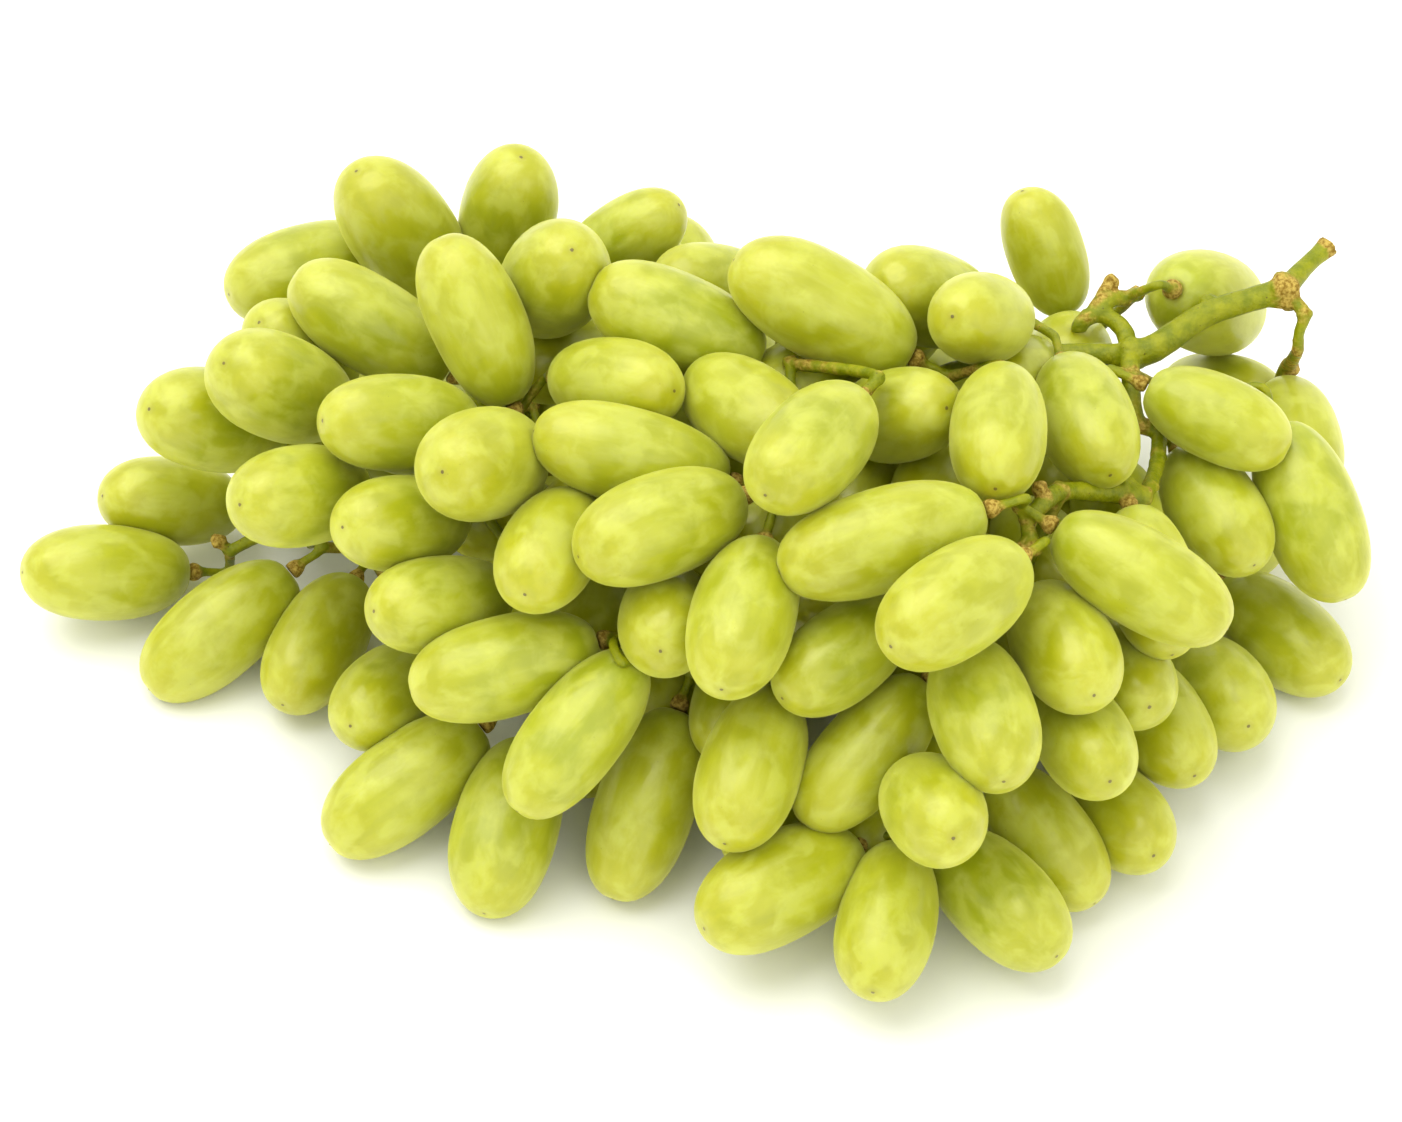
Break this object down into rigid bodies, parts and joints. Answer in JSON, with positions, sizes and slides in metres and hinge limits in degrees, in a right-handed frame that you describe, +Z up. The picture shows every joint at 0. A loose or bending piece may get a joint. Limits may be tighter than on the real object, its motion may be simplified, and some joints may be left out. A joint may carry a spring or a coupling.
{
  "type": "bunch of green grapes",
  "caption": "Dense bunch of long green grapes lying on its side, with a forked woody peduncle and pedicels under every outer berry.",
  "frame": {"origin": "on the resting plane, under the middle of the bunch's bounding box", "axes": "+X towards the cut peduncle, +Y to the rear of the lying bunch, +Z up"},
  "size_m": [0.234, 0.1766, 0.0794],
  "materials": {
    "berry_skin": "waxy satin, slightly translucent yellow-green skin with pale bloom",
    "stem": "matte green rind with brown corky nodes"
  },
  "bodies": {
    "root": {"grapes_01": "berry_skin", "grapes_02": "berry_skin", "grapes_03": "berry_skin", "grapes_04": "berry_skin", "grapes_05": "berry_skin", "grapes_06": "berry_skin", "grapes_07": "berry_skin", "grapes_08": "berry_skin", "grapes_09": "berry_skin", "grapes_10": "berry_skin", "grapes_11": "berry_skin", "grapes_12": "berry_skin", "grapes_13": "berry_skin", "grapes_14": "berry_skin", "grapes_15": "berry_skin", "grapes_16": "berry_skin", "grapes_17": "berry_skin", "grapes_18": "berry_skin", "grapes_19": "berry_skin", "grapes_20": "berry_skin", "grapes_21": "berry_skin", "grapes_22": "berry_skin", "grapes_23": "berry_skin", "grapes_24": "berry_skin", "grapes_25": "berry_skin", "grapes_26": "berry_skin", "grapes_27": "berry_skin", "grapes_28": "berry_skin", "grapes_29": "berry_skin", "grapes_30": "berry_skin", "grapes_31": "berry_skin", "grapes_32": "berry_skin", "grapes_33": "berry_skin", "grapes_34": "berry_skin", "stem": "stem"}
  },
  "joints": []
}
